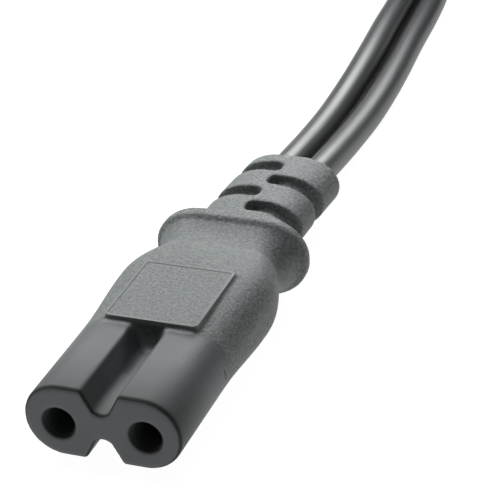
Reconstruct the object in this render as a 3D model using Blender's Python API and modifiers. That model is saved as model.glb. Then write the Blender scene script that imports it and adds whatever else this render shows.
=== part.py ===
"""Power cord: a figure-8 appliance connector on a flat twin flex, with a two-blade plug at the far end.

Metres, +Z up. The connector lies level along Y with its mating face towards -Y and the flex leaving
towards +Y. The origin is on the floor below the middle of the connector.
"""
import math

import bmesh
import bpy
from mathutils import Vector

MM = 0.001
NEARLY_ALL = 0.999            # of a half size that a corner may round
CLEARANCE = 0.3 * MM          # kept between neighbouring pieces
OVER = 1.0 * MM               # how far a cutter runs past what it cuts
POINT = 0.0001 * MM           # radius of a cone's sharp end
CORNER_STEPS = 14             # straight pieces in each rounded corner
FLEX_CORNER_STEPS = 3

# Connector, front to back
NOSE_HALF_WIDTH = 7.8 * MM
NOSE_HALF_HEIGHT = 3.75 * MM
NOSE_RIM = 0.4 * MM           # rounding of the mating face's edge
NOSE_LENGTH = 12.0 * MM
PIN_PITCH = 8.6 * MM
PIN_HOLE_RADIUS = 1.5 * MM
PIN_HOLE_LIP = 4.0 * MM       # length of the narrow mouth in front of the contact
PIN_HOLE_BEVEL = 0.25 * MM
PIN_HOLE_DROP = 0.25 * MM     # below the middle of the nose
KEY_MOUTH_HALF = 1.9 * MM     # the notch that makes the figure of eight
KEY_FLOOR_HALF = 0.65 * MM
KEY_DEPTH = 2.4 * MM
KEY_PAST_NOSE = 0.3 * MM      # how far the notch runs on into the body
KEY_FLOOR_ROUND = 0.55 * MM   # height of the round floor of the notch
KEY_RUN_OUT = 1.2 * MM        # length over which the notch's floor rises at its end
BODY_HALF_WIDTH = 8.15 * MM
BODY_HALF_HEIGHT = 3.9 * MM
BODY_CORNER = 3.3 * MM
BODY_SWELL = 11.0 * MM        # length over which the nose swells into the body
SHOULDER_LENGTH = 6.3 * MM    # down to the neck
NECK_HALF_WIDTH = 6.7 * MM
NECK_HALF_HEIGHT = 3.25 * MM
FLARE_LENGTH = 3.7 * MM       # from the neck up to the collar
PAD_GAP = 0.2 * MM            # between the nose and the pad
PAD_LENGTH = 10.6 * MM
PAD_HALF_WIDTH = 4.75 * MM
PAD_HEIGHT = 0.35 * MM        # above the body at its front edge
COLLAR_HALF_WIDTH = 8.3 * MM
COLLAR_HALF_HEIGHT = 4.4 * MM
COLLAR_CORNER_WIDE = 5.0 * MM
COLLAR_CORNER_HIGH = 4.2 * MM
COLLAR_THICKNESS = 1.7 * MM
COLLAR_LIP = 0.55 * MM        # step from the flared neck out to the collar's rim
COLLAR_EDGE = 0.3 * MM
RELIEF_LENGTH = 16.8 * MM
RELIEF_HALF_WIDTH = 5.6 * MM
RELIEF_HALF_HEIGHT = 3.2 * MM
RELIEF_TAPER = 0.1 * MM       # loss of half-width and half-height over the relief
RELIEF_CORNER_WIDE = 4.4 * MM
RELIEF_CORNER_HIGH = 3.1 * MM
RELIEF_END_EDGE = 0.5 * MM
RELIEF_SIDE = 0.6 * MM        # how far its soft end has given sideways
RELIEF_DROP = 0.35 * MM       # and down, where the flex's weight pulls
SLOT_WIDTH = 2.2 * MM
SLOT_PITCH = 3.2 * MM         # between slots of opposite sides
SLOT_FIRST = 3.9 * MM         # from the collar's back to the first slot's middle
SLOT_COUNT = 4
SLOT_DEPTH = 1.35 * MM
SLOT_PAST_MIDDLE = 0.15 * MM
SLOT_ROUND = 0.66 * MM        # rounding of a slot's ends

# Contacts
CONTACT_BORE = 1.25 * MM
CONTACT_RADIUS = 1.75 * MM
CONTACT_LENGTH = 8.0 * MM
CONTACT_SLIT = 0.5 * MM
CONTACT_SLIT_LENGTH = 5.6 * MM

# Flat twin flex
CORE_RADIUS = 1.8 * MM
FLEX_THICKNESS = 2 * CORE_RADIUS
FLEX_WIDTH = 4 * CORE_RADIUS
FLEX_SPACING = 7.0 * MM       # between points along the flex
STRAND_GAP = 0.2 * MM         # between strands that lie side by side

# Hank
TURN_PITCH = FLEX_THICKNESS + STRAND_GAP
LAYER_PITCH = FLEX_WIDTH + STRAND_GAP
FOLD_RADIUS = 3 * FLEX_WIDTH
HANK_COLUMNS = 2
HANK_LAYERS = 2
HANK_RUN = 116.0 * MM
HANK_X = 9.0 * MM
HANK_NEAR = 146.3 * MM        # centre of the near fold
TIE_THICKNESS = 0.6 * MM
TIE_WIDTH = 5.0 * MM
TIE_AT = -30.0 * MM           # from the middle of the runs, towards the near fold
TIE_CORNER = 1.4 * MM
TIE_TAIL = 14.0 * MM
TIE_TAIL_WIDTH = 2.4 * MM
TIE_TAIL_THICKNESS = 1.2 * MM

# Plug
BLADE_PITCH = 12.7 * MM
BLADE_WIDTH = 6.35 * MM
BLADE_THICKNESS = 1.52 * MM
BLADE_LENGTH = 16.5 * MM
BLADE_ROOT = 5.0 * MM
BLADE_HOLE_RADIUS = 1.5 * MM
BLADE_HOLE_AT = 11.9 * MM
BLADE_EDGE = 0.35 * MM
PLUG_HALF_WIDTH = 12.2 * MM
PLUG_HALF_HEIGHT = 6.6 * MM
PLUG_CORNER = 4.6 * MM
PLUG_FACE_EDGE = 1.0 * MM
PLUG_HEAD = 7.0 * MM
PLUG_GRIP_AT = 16.0 * MM
PLUG_GRIP_HALF_WIDTH = 10.0 * MM
PLUG_GRIP_HALF_HEIGHT = 5.4 * MM
PLUG_BODY = 27.0 * MM
PLUG_RELIEF_LENGTH = 18.0 * MM
PLUG_RELIEF_HALF_WIDTH = 5.6 * MM
PLUG_RELIEF_HALF_HEIGHT = 3.6 * MM
PLUG_RELIEF_TAPER = 0.8 * MM
PLUG_RELIEF_CORNER = 2.9 * MM
PLUG_CABLE_AT = 2.0 * MM      # from the middle of the hank's runs to the plug's cable end

# Worked out from the sizes above
AXIS_Z = COLLAR_HALF_HEIGHT
PIN_Z = AXIS_Z - PIN_HOLE_DROP
KEY_LENGTH = NOSE_LENGTH + KEY_PAST_NOSE
PAD_FRONT = NOSE_LENGTH + PAD_GAP
SHOULDER_AT = NOSE_LENGTH + BODY_SWELL
NECK_AT = SHOULDER_AT + SHOULDER_LENGTH
COLLAR_AT = NECK_AT + FLARE_LENGTH
RELIEF_AT = COLLAR_AT + COLLAR_THICKNESS
CONNECTOR_LENGTH = RELIEF_AT + RELIEF_LENGTH
FRONT_Y = -CONNECTOR_LENGTH / 2
OUTER_FOLD = FOLD_RADIUS + (HANK_COLUMNS - 1) * TURN_PITCH
HANK_FAR = HANK_NEAR + HANK_RUN
HANK_HEIGHT = (HANK_LAYERS - 1) * LAYER_PITCH + FLEX_WIDTH + TIE_THICKNESS + CLEARANCE
TIE_Y = HANK_NEAR + HANK_RUN / 2 + TIE_AT
PLUG_Z = PLUG_HALF_HEIGHT
PLUG_CABLE_Y = HANK_NEAR + HANK_RUN / 2 + PLUG_CABLE_AT
PLUG_LENGTH = PLUG_BODY + PLUG_RELIEF_LENGTH
PLUG_FACE_Y = PLUG_CABLE_Y - PLUG_LENGTH
PLUG_RELIEF_SIZES = (
    PLUG_RELIEF_HALF_WIDTH, PLUG_RELIEF_HALF_HEIGHT, PLUG_RELIEF_CORNER, PLUG_RELIEF_CORNER,
)

# Routes of the flex in millimetres: x, y, height of its middle, roll in degrees (0 flat, 90 on edge)
LEAD_ROUTE = [
    (0.62, 26.05, 4.05, 0), (0.72, 31.0, 3.6, 2), (0.7, 38.0, 2.95, 5), (0.62, 46.0, 2.5, 11),
    (0.42, 54.0, 2.5, 20), (0.05, 62.0, 2.68, 28), (-0.5, 70.0, 2.8, 30), (-0.95, 78.0, 2.83, 28),
    (-1.6, 86.0, 2.95, 31), (-2.8, 93.5, 3.2, 46), (-4.9, 101.0, 3.5, 65), (-7.9, 108.5, 3.65, 82),
    (-11.2, 115.5, 3.65, 90), (-14.1, 122.5, 3.65, 90), (-16.2, 131.0, 3.65, 90),
]
TAIL_ROUTE = [
    (26.6, 246.5, 3.65, 90), (23.2, 240.0, 3.65, 90), (19.6, 234.0, 3.65, 90), (16.1, 228.0, 3.65, 88),
    (12.9, 222.0, 4.1, 74), (10.5, 216.5, 5.2, 45), (9.1, 211.5, 6.3, 14), (9.0, 206.8, 6.6, 0),
]


def clear_objects():
    for existing in list(bpy.data.objects):
        bpy.data.objects.remove(existing, do_unlink=True)


def new_collection(name):
    collection = bpy.data.collections.new(name)
    bpy.context.scene.collection.children.link(collection)
    return collection


def new_material(name, colour, roughness, metallic=0.0):
    made = bpy.data.materials.new(name)
    made.use_nodes = True
    shader = made.node_tree.nodes["Principled BSDF"]
    shader.inputs["Base Color"].default_value = (*colour, 1.0)
    shader.inputs["Roughness"].default_value = roughness
    shader.inputs["Metallic"].default_value = metallic
    return made


def add_object(name, mesh, collection, location=(0, 0, 0)):
    made = bpy.data.objects.new(name, mesh)
    made.location = location
    collection.objects.link(made)
    return made


def as_cutter(made):
    made.display_type = "WIRE"
    made.hide_render = True
    return made


def boolean(target, other, operation="DIFFERENCE"):
    step = target.modifiers.new(other.name, "BOOLEAN")
    step.operation = operation
    step.solver = "EXACT"
    step.object = other


def finish(made, material, angle=35):
    made.data.materials.append(material)
    made.data.shade_smooth()
    made.data.set_sharp_from_angle(angle=math.radians(angle))
    return made


def rounded_section(half_width, half_height, corner_wide, corner_high=None, steps=CORNER_STEPS):
    """Points (x, z) of a rounded rectangle, anticlockwise seen from -Y. Its corners may be elliptical."""
    corner_high = corner_wide if corner_high is None else corner_high
    corner_wide = min(corner_wide, half_width * NEARLY_ALL)
    corner_high = min(corner_high, half_height * NEARLY_ALL)
    points = []
    for quarter, (sx, sz) in enumerate(((1, 1), (-1, 1), (-1, -1), (1, -1))):
        for step in range(steps + 1):
            angle = math.pi / 2 * (quarter + step / steps)
            points.append((
                sx * (half_width - corner_wide) + corner_wide * math.cos(angle),
                sz * (half_height - corner_high) + corner_high * math.sin(angle),
            ))
    return points


def straight(y):
    """The centre of a piece that isn't bent."""
    return 0.0, 0.0


def relief_bend(y):
    """How far the centre of the soft relief has moved, y from the mating face."""
    share = max(0.0, (y - COLLAR_AT) / (CONNECTOR_LENGTH - COLLAR_AT))
    return RELIEF_SIDE * share ** 2, -RELIEF_DROP * share ** 2


def loft_along_y(name, stations, centre=straight):
    """A closed solid through sections of unlike size. Each station is y and then a section's sizes."""
    work = bmesh.new()
    rings = []
    for y, *sizes in stations:
        dx, dz = centre(y)
        rings.append([work.verts.new((x + dx, y, z + dz)) for x, z in rounded_section(*sizes)])
    count = len(rings[0])
    for near, far in zip(rings, rings[1:]):
        for i in range(count):
            j = (i + 1) % count
            work.faces.new((near[i], near[j], far[j], far[i]))
    work.faces.new(list(reversed(rings[0])))
    work.faces.new(rings[-1])
    bmesh.ops.recalc_face_normals(work, faces=work.faces)
    mesh = bpy.data.meshes.new(name)
    work.to_mesh(mesh)
    work.free()
    return mesh


def cylinder_mesh(name, radius, length, sides=32, far_radius=None):
    """A cylinder or cone along +Y from the origin."""
    work = bmesh.new()
    bmesh.ops.create_cone(
        work, cap_ends=True, segments=sides, radius1=radius,
        radius2=radius if far_radius is None else far_radius, depth=length,
    )
    bmesh.ops.translate(work, verts=work.verts, vec=(0, 0, length / 2))
    for vert in work.verts:
        vert.co = Vector((vert.co.x, vert.co.z, -vert.co.y))
    mesh = bpy.data.meshes.new(name)
    work.to_mesh(mesh)
    work.free()
    return mesh


def box_mesh(name, low, high):
    work = bmesh.new()
    bmesh.ops.create_cube(work, size=1.0)
    for vert in work.verts:
        for axis in range(3):
            vert.co[axis] = low[axis] + (vert.co[axis] + 0.5) * (high[axis] - low[axis])
    mesh = bpy.data.meshes.new(name)
    work.to_mesh(mesh)
    work.free()
    return mesh


def outline_solid(name, loops, height, z, collection):
    """Flat outlines, the later ones holes, extruded upwards from z."""
    curve = bpy.data.curves.new(name, "CURVE")
    curve.dimensions = "2D"
    curve.fill_mode = "BOTH"
    curve.extrude = height / 2
    for loop in loops:
        spline = curve.splines.new("POLY")
        spline.points.add(len(loop) - 1)
        for point, (x, y) in zip(spline.points, loop):
            point.co = (x, y, 0, 1)
        spline.use_cyclic_u = True
    made = bpy.data.objects.new(name, curve)
    collection.objects.link(made)
    bpy.context.view_layer.update()
    evaluated = made.evaluated_get(bpy.context.evaluated_depsgraph_get())
    mesh = bpy.data.meshes.new_from_object(evaluated)
    work = bmesh.new()
    work.from_mesh(mesh)
    bmesh.ops.remove_doubles(work, verts=work.verts, dist=1e-6)
    bmesh.ops.recalc_face_normals(work, faces=work.faces)
    work.to_mesh(mesh)
    work.free()
    bpy.data.objects.remove(made, do_unlink=True)
    return add_object(name, mesh, collection, (0, 0, z + height / 2))


def eased(share):
    """From 0 to 1, starting flat and steepening."""
    return 1 - math.cos(share * math.pi / 2)


def swelling(share):
    """From 0 to 1, flat at both ends."""
    return (1 - math.cos(share * math.pi)) / 2


def between(start, end, share):
    return start + (end - start) * share


def connector_stations():
    stations = []
    rim_steps = 4
    for step in range(rim_steps + 1):
        angle = math.pi / 2 * step / rim_steps
        inset = NOSE_RIM * (1 - math.sin(angle))
        y = NOSE_RIM * (1 - math.cos(angle))
        half_height = NOSE_HALF_HEIGHT - inset
        stations.append((y, NOSE_HALF_WIDTH - inset, half_height, half_height))
    swell_steps = 6
    for step in range(swell_steps + 1):
        swell = swelling(step / swell_steps)
        stations.append((
            NOSE_LENGTH + BODY_SWELL * step / swell_steps,
            between(NOSE_HALF_WIDTH, BODY_HALF_WIDTH, swell),
            between(NOSE_HALF_HEIGHT, BODY_HALF_HEIGHT, swell),
            between(NOSE_HALF_HEIGHT, BODY_CORNER, swell),
        ))
    shoulder_steps = 7
    for step in range(1, shoulder_steps + 1):
        share = step / shoulder_steps
        drop = eased(share)
        stations.append((
            between(SHOULDER_AT, NECK_AT, share),
            between(BODY_HALF_WIDTH, NECK_HALF_WIDTH, drop),
            between(BODY_HALF_HEIGHT, NECK_HALF_HEIGHT, drop),
            BODY_CORNER,
        ))
    flare_steps = 6
    for step in range(1, flare_steps + 1):
        share = step / flare_steps
        rise = eased(share)
        stations.append((
            between(NECK_AT, COLLAR_AT, share),
            between(NECK_HALF_WIDTH, COLLAR_HALF_WIDTH - COLLAR_LIP, rise),
            between(NECK_HALF_HEIGHT, COLLAR_HALF_HEIGHT - COLLAR_LIP, rise),
            between(BODY_CORNER, COLLAR_CORNER_WIDE - COLLAR_LIP, rise),
            between(BODY_CORNER, COLLAR_CORNER_HIGH - COLLAR_LIP, rise),
        ))
    return stations


def collar_stations():
    stations = []
    back = COLLAR_AT + COLLAR_THICKNESS
    for y, inset in (
        (COLLAR_AT, COLLAR_EDGE), (COLLAR_AT + COLLAR_EDGE, 0),
        (back - COLLAR_EDGE, 0), (back, COLLAR_EDGE),
    ):
        stations.append((
            y, COLLAR_HALF_WIDTH - inset, COLLAR_HALF_HEIGHT - inset,
            COLLAR_CORNER_WIDE - inset, COLLAR_CORNER_HIGH - inset,
        ))
    return stations


def relief_stations(start, length, sizes, taper):
    """A strain relief that narrows by its taper and ends with a rounded edge. sizes are its section's."""
    stations = []
    body_steps = 6
    body = length - RELIEF_END_EDGE
    for step in range(body_steps + 1):
        share = step / body_steps
        stations.append((start + body * share, *(size - taper * share for size in sizes)))
    edge_steps = 4
    for step in range(1, edge_steps + 1):
        angle = math.pi / 2 * step / edge_steps
        inset = taper + RELIEF_END_EDGE * (1 - math.cos(angle))
        stations.append((
            start + body + RELIEF_END_EDGE * math.sin(angle), *(size - inset for size in sizes),
        ))
    return stations


def slot_cutters(prefix, first, sizes, place, centre, guides):
    """C-shaped cutters, right and left in turn, each a bar with the relief's core left out.

    first is the middle of the first slot, along +Y from place.
    """
    made = []
    half_width, half_height = sizes[:2]
    core_sizes = [size - SLOT_DEPTH for size in sizes]
    for index in range(SLOT_COUNT):
        side = 1 if index % 2 == 0 else -1
        middle = first + index * SLOT_PITCH
        dx, dz = centre(middle)
        location = (place[0] + dx, place[1] + middle, place[2] + dz)
        low_x, high_x = sorted((-side * SLOT_PAST_MIDDLE, side * 2 * half_width))
        name = f"{prefix}_slot_{index}"
        outer = add_object(
            name,
            box_mesh(
                name, (low_x, -SLOT_WIDTH / 2, -2 * half_height), (high_x, SLOT_WIDTH / 2, 2 * half_height),
            ),
            guides, location,
        )
        edge = outer.modifiers.new("rounded", "BEVEL")
        edge.width = SLOT_ROUND
        edge.segments = 3
        core = loft_along_y(f"{name}_core", [(y, *core_sizes) for y in (-SLOT_WIDTH, SLOT_WIDTH)])
        boolean(outer, as_cutter(add_object(f"{name}_core", core, guides, location)))
        made.append(as_cutter(outer))
    return made


def key_cutter(name, side, guides):
    """The notch of the figure of eight, with sloping walls and a round floor. side is 1 above, -1 below."""
    floor_z = NOSE_HALF_HEIGHT - KEY_DEPTH
    mouth_z = NOSE_HALF_HEIGHT + OVER
    slope = (KEY_MOUTH_HALF - KEY_FLOOR_HALF) / KEY_DEPTH
    mouth_half = KEY_MOUTH_HALF + slope * OVER
    round_half = KEY_FLOOR_HALF + slope * KEY_FLOOR_ROUND
    section = [(mouth_half, mouth_z)]
    steps = 8
    for step in range(steps + 1):
        angle = math.pi * step / steps
        section.append((round_half * math.cos(angle), floor_z + KEY_FLOOR_ROUND * (1 - math.sin(angle))))
    section.append((-mouth_half, mouth_z))
    work = bmesh.new()
    rings = []
    for y, rise in (
        (-OVER, 0), (KEY_LENGTH - KEY_RUN_OUT, 0),
        (KEY_LENGTH - KEY_RUN_OUT / 2, KEY_RUN_OUT / 4), (KEY_LENGTH, KEY_RUN_OUT),
    ):
        rings.append([
            work.verts.new((x, y, side * (z + rise * (mouth_z - z) / KEY_DEPTH))) for x, z in section
        ])
    count = len(section)
    for near, far in zip(rings, rings[1:]):
        for i in range(count):
            j = (i + 1) % count
            work.faces.new((near[i], near[j], far[j], far[i]))
    work.faces.new(list(reversed(rings[0])))
    work.faces.new(rings[-1])
    bmesh.ops.recalc_face_normals(work, faces=work.faces)
    mesh = bpy.data.meshes.new(name)
    work.to_mesh(mesh)
    work.free()
    return as_cutter(add_object(name, mesh, guides, (0, FRONT_Y, AXIS_Z)))


def pin_hole_cutters(side, guides):
    """A narrow mouth with a bevelled edge, then a wider chamber for the contact."""
    x = side * PIN_PITCH / 2
    name = "left" if side < 0 else "right"
    mouth = add_object(
        f"mouth_{name}", cylinder_mesh("mouth", PIN_HOLE_RADIUS, PIN_HOLE_LIP + 2 * OVER),
        guides, (x, FRONT_Y - OVER, PIN_Z),
    )
    bevel_radius = PIN_HOLE_RADIUS + PIN_HOLE_BEVEL + OVER
    bevel = add_object(
        f"mouth_bevel_{name}", cylinder_mesh("mouth_bevel", bevel_radius, bevel_radius, far_radius=POINT),
        guides, (x, FRONT_Y - OVER, PIN_Z),
    )
    chamber = add_object(
        f"chamber_{name}",
        cylinder_mesh("chamber", CONTACT_RADIUS + CLEARANCE, CONTACT_LENGTH + 2 * CLEARANCE),
        guides, (x, FRONT_Y + PIN_HOLE_LIP, PIN_Z),
    )
    return [as_cutter(made) for made in (mouth, bevel, chamber)]


def make_connector(parts, guides, material):
    place = (0, FRONT_Y, AXIS_Z)
    body = add_object("connector_body", loft_along_y("connector_body", connector_stations()), parts, place)
    collar = add_object("collar", loft_along_y("collar", collar_stations()), guides, place)
    relief_sizes = (RELIEF_HALF_WIDTH, RELIEF_HALF_HEIGHT, RELIEF_CORNER_WIDE, RELIEF_CORNER_HIGH)
    relief_start = COLLAR_AT + COLLAR_THICKNESS / 2
    relief = add_object(
        "relief",
        loft_along_y(
            "relief",
            relief_stations(relief_start, CONNECTOR_LENGTH - relief_start, relief_sizes, RELIEF_TAPER),
            relief_bend,
        ),
        guides, place,
    )
    pad = add_object(
        "pad",
        box_mesh(
            "pad", (-PAD_HALF_WIDTH, PAD_FRONT, 0),
            (PAD_HALF_WIDTH, PAD_FRONT + PAD_LENGTH, BODY_HALF_HEIGHT + PAD_HEIGHT),
        ),
        guides, place,
    )
    for joined in (collar, relief, pad):
        boolean(body, as_cutter(joined), "UNION")
    cutters = [key_cutter("key_above", 1, guides), key_cutter("key_below", -1, guides)]
    cutters += pin_hole_cutters(-1, guides) + pin_hole_cutters(1, guides)
    cutters += slot_cutters("relief", RELIEF_AT + SLOT_FIRST, relief_sizes, place, relief_bend, guides)
    for cutter in cutters:
        boolean(body, cutter)
    return finish(body, material)


def make_contact(name, side, parts, guides, material):
    """A rolled brass sleeve with a slit along it."""
    place = (side * PIN_PITCH / 2, FRONT_Y + PIN_HOLE_LIP + CLEARANCE, PIN_Z)
    sleeve = add_object(name, cylinder_mesh(name, CONTACT_RADIUS, CONTACT_LENGTH), parts, place)
    bore = add_object(
        f"{name}_bore", cylinder_mesh("contact_bore", CONTACT_BORE, CONTACT_LENGTH + 2 * OVER),
        guides, (place[0], place[1] - OVER, place[2]),
    )
    slit = add_object(
        f"{name}_slit",
        box_mesh(
            "contact_slit", (0, -OVER, -CONTACT_SLIT / 2),
            (2 * CONTACT_RADIUS, CONTACT_SLIT_LENGTH, CONTACT_SLIT / 2),
        ),
        guides, place,
    )
    for cutter in (bore, slit):
        boolean(sleeve, as_cutter(cutter))
    return finish(sleeve, material)


def smooth_route(points, spacing):
    """Points evenly spaced on a smooth curve through the given ones, each x, y, z, roll."""
    fine = []
    padded = [points[0]] + list(points) + [points[-1]]
    for a, b, c, d in zip(padded, padded[1:], padded[2:], padded[3:]):
        for step in range(12):
            t = step / 12
            fine.append(tuple(
                q + t * ((r - p) + t * ((2 * p - 5 * q + 4 * r - s) + t * (3 * q - p - 3 * r + s))) / 2
                for p, q, r, s in zip(a, b, c, d)
            ))
    fine.append(tuple(points[-1]))
    lengths = [0.0]
    for a, b in zip(fine, fine[1:]):
        lengths.append(lengths[-1] + math.dist(a[:3], b[:3]))
    count = max(2, round(lengths[-1] / spacing))
    even = []
    place = 0
    for index in range(count + 1):
        target = lengths[-1] * index / count
        while place < len(lengths) - 2 and lengths[place + 1] < target:
            place += 1
        span = lengths[place + 1] - lengths[place]
        share = (target - lengths[place]) / span if span else 0.0
        even.append(tuple(p + (q - p) * share for p, q in zip(fine[place], fine[place + 1])))
    return even


def flex_profile(guides):
    """The flex's flat section, as the bevel of a curve."""
    curve = bpy.data.curves.new("flex_section", "CURVE")
    curve.dimensions = "2D"
    spline = curve.splines.new("POLY")
    points = rounded_section(FLEX_WIDTH / 2, FLEX_THICKNESS / 2, CORE_RADIUS, steps=FLEX_CORNER_STEPS)[::-1]
    spline.points.add(len(points) - 1)
    for point, (x, z) in zip(spline.points, points):
        point.co = (x, z, 0, 1)
    spline.use_cyclic_u = True
    made = bpy.data.objects.new("flex_section", curve)
    guides.objects.link(made)
    return as_cutter(made)


def make_flex(name, route, profile, parts, material):
    curve = bpy.data.curves.new(name, "CURVE")
    curve.dimensions = "3D"
    curve.twist_mode = "Z_UP"
    curve.bevel_mode = "OBJECT"
    curve.bevel_object = profile
    curve.use_fill_caps = True
    in_metres = [(x * MM, y * MM, z * MM, math.radians(roll)) for x, y, z, roll in route]
    points = smooth_route(in_metres, FLEX_SPACING)
    spline = curve.splines.new("POLY")
    spline.points.add(len(points) - 1)
    for point, (x, y, z, roll) in zip(spline.points, points):
        point.co = (x, y, z, 1)
        point.tilt = roll
    spline.use_smooth = True
    curve.materials.append(material)
    made = bpy.data.objects.new(name, curve)
    parts.objects.link(made)
    return made


def racetrack(radius, steps=20):
    """A stadium outline round the hank's two fold centres, anticlockwise from above."""
    loop = []
    for start, centre in ((0.0, HANK_FAR), (math.pi, HANK_NEAR)):
        for step in range(steps + 1):
            angle = start + math.pi * step / steps
            loop.append((HANK_X + radius * math.cos(angle), centre + radius * math.sin(angle)))
    return loop


def tied_side(side):
    """The middle along X, and half the width, of the strands on one side of the hank."""
    middle = HANK_X + side * (FOLD_RADIUS + OUTER_FOLD) / 2
    return middle, (OUTER_FOLD - FOLD_RADIUS + FLEX_THICKNESS) / 2


def make_hank(parts, guides, material):
    outside = racetrack(OUTER_FOLD + FLEX_THICKNESS / 2)
    inside = racetrack(FOLD_RADIUS - FLEX_THICKNESS / 2)
    hank = outline_solid("cord_hank", [outside, inside], HANK_HEIGHT, 0, parts)
    for side, name in ((-1, "left"), (1, "right")):
        middle, half = tied_side(side)
        channel = as_cutter(add_object(
            f"tie_channel_{name}",
            box_mesh(
                "tie_channel", (-half - OVER, -TIE_WIDTH / 2 - CLEARANCE, -OVER),
                (half + OVER, TIE_WIDTH / 2 + CLEARANCE, TIE_THICKNESS + CLEARANCE),
            ),
            guides, (middle, TIE_Y, 0),
        ))
        boolean(hank, channel)
    return finish(hank, material)


def make_tie(name, side, parts, guides, material):
    """A flat band round one side of the hank, its ends twisted together on top."""
    middle, half = tied_side(side)
    inner_half = half + CLEARANCE
    outer_half = inner_half + TIE_THICKNESS
    inner_top = HANK_HEIGHT + CLEARANCE
    half_height = (inner_top + TIE_THICKNESS) / 2
    inner_half_height = half_height - TIE_THICKNESS
    place = (middle, TIE_Y, half_height)
    band = add_object(
        name,
        loft_along_y(name, [
            (y, outer_half, half_height, TIE_CORNER) for y in (-TIE_WIDTH / 2, TIE_WIDTH / 2)
        ]),
        parts, place,
    )
    hole = add_object(
        f"{name}_hole",
        loft_along_y(f"{name}_hole", [
            (y, inner_half, inner_half_height, TIE_CORNER - TIE_THICKNESS)
            for y in (-TIE_WIDTH / 2 - OVER, TIE_WIDTH / 2 + OVER)
        ]),
        guides, place,
    )
    tail = add_object(
        f"{name}_tail",
        box_mesh(
            f"{name}_tail", (-TIE_TAIL_WIDTH / 2, 0, 0),
            (TIE_TAIL_WIDTH / 2, TIE_TAIL, TIE_TAIL_THICKNESS),
        ),
        guides, (middle, TIE_Y - TIE_WIDTH / 4, inner_top + TIE_THICKNESS / 2),
    )
    boolean(band, as_cutter(hole))
    boolean(band, as_cutter(tail), "UNION")
    return finish(band, material)


def plug_stations():
    """From the blade face at y 0 back towards the cable, along +Y."""
    stations = []
    steps = 3
    for step in range(steps + 1):
        angle = math.pi / 2 * step / steps
        inset = PLUG_FACE_EDGE * (1 - math.sin(angle))
        y = PLUG_FACE_EDGE * (1 - math.cos(angle))
        stations.append((y, PLUG_HALF_WIDTH - inset, PLUG_HALF_HEIGHT - inset, PLUG_CORNER - inset))
    waist_steps = 6
    for step in range(waist_steps + 1):
        share = step / waist_steps
        blend = swelling(share)
        stations.append((
            between(PLUG_HEAD, PLUG_GRIP_AT, share),
            between(PLUG_HALF_WIDTH, PLUG_GRIP_HALF_WIDTH, blend),
            between(PLUG_HALF_HEIGHT, PLUG_GRIP_HALF_HEIGHT, blend),
            PLUG_CORNER,
        ))
    shoulder_steps = 7
    for step in range(1, shoulder_steps):
        share = step / shoulder_steps
        drop = eased(share)
        stations.append((
            between(PLUG_GRIP_AT, PLUG_BODY, math.sin(share * math.pi / 2)),
            between(PLUG_GRIP_HALF_WIDTH, PLUG_RELIEF_HALF_WIDTH, drop),
            between(PLUG_GRIP_HALF_HEIGHT, PLUG_RELIEF_HALF_HEIGHT, drop),
            between(PLUG_CORNER, PLUG_RELIEF_CORNER, drop),
        ))
    return stations + relief_stations(PLUG_BODY, PLUG_RELIEF_LENGTH, PLUG_RELIEF_SIZES, PLUG_RELIEF_TAPER)


def make_plug(parts, guides, material):
    place = (HANK_X, PLUG_FACE_Y, PLUG_Z)
    body = add_object("plug_body", loft_along_y("plug_body", plug_stations()), parts, place)
    half_thickness = BLADE_THICKNESS / 2 + CLEARANCE
    half_width = BLADE_WIDTH / 2 + CLEARANCE
    for side in (-1, 1):
        seat = add_object(
            f"blade_seat_{side}",
            box_mesh(
                "blade_seat", (-half_thickness, -OVER, -half_width),
                (half_thickness, BLADE_ROOT + CLEARANCE, half_width),
            ),
            guides, (place[0] + side * BLADE_PITCH / 2, place[1], place[2]),
        )
        boolean(body, as_cutter(seat))
    for cutter in slot_cutters("plug", PLUG_BODY + SLOT_FIRST, PLUG_RELIEF_SIZES, place, straight, guides):
        boolean(body, cutter)
    return finish(body, material)


def make_blade(name, side, parts, guides, material):
    x = HANK_X + side * BLADE_PITCH / 2
    blade = add_object(
        name,
        box_mesh(
            name, (-BLADE_THICKNESS / 2, -BLADE_LENGTH, -BLADE_WIDTH / 2),
            (BLADE_THICKNESS / 2, BLADE_ROOT, BLADE_WIDTH / 2),
        ),
        parts, (x, PLUG_FACE_Y, PLUG_Z),
    )
    edge = blade.modifiers.new("edges", "BEVEL")
    edge.width = BLADE_EDGE
    edge.segments = 2
    hole = as_cutter(add_object(
        f"{name}_hole", cylinder_mesh("blade_hole", BLADE_HOLE_RADIUS, 4 * BLADE_THICKNESS, sides=24),
        guides, (x - 2 * BLADE_THICKNESS, PLUG_FACE_Y - BLADE_HOLE_AT, PLUG_Z),
    ))
    hole.rotation_euler = (0, 0, -math.pi / 2)
    boolean(blade, hole)
    return finish(blade, material)


def main():
    clear_objects()
    parts = new_collection("power_cord")
    guides = new_collection("cutters")
    pvc = new_material("grey_pvc", (0.085, 0.095, 0.1), 0.45)
    brass = new_material("contact_brass", (0.62, 0.45, 0.2), 0.35, 1.0)
    nickel = new_material("plated_blade", (0.7, 0.69, 0.66), 0.28, 1.0)
    jacket = new_material("flex_jacket", (0.1, 0.11, 0.115), 0.35)
    black = new_material("tie_black", (0.02, 0.02, 0.02), 0.5)
    make_connector(parts, guides, pvc)
    make_contact("contact_left", -1, parts, guides, brass)
    make_contact("contact_right", 1, parts, guides, brass)
    profile = flex_profile(guides)
    make_flex("cord_lead", LEAD_ROUTE, profile, parts, jacket)
    make_hank(parts, guides, jacket)
    make_flex("cord_tail", TAIL_ROUTE, profile, parts, jacket)
    make_tie("tie_left", -1, parts, guides, black)
    make_tie("tie_right", 1, parts, guides, black)
    make_plug(parts, guides, pvc)
    make_blade("blade_left", -1, parts, guides, nickel)
    make_blade("blade_right", 1, parts, guides, nickel)


main()
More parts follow.
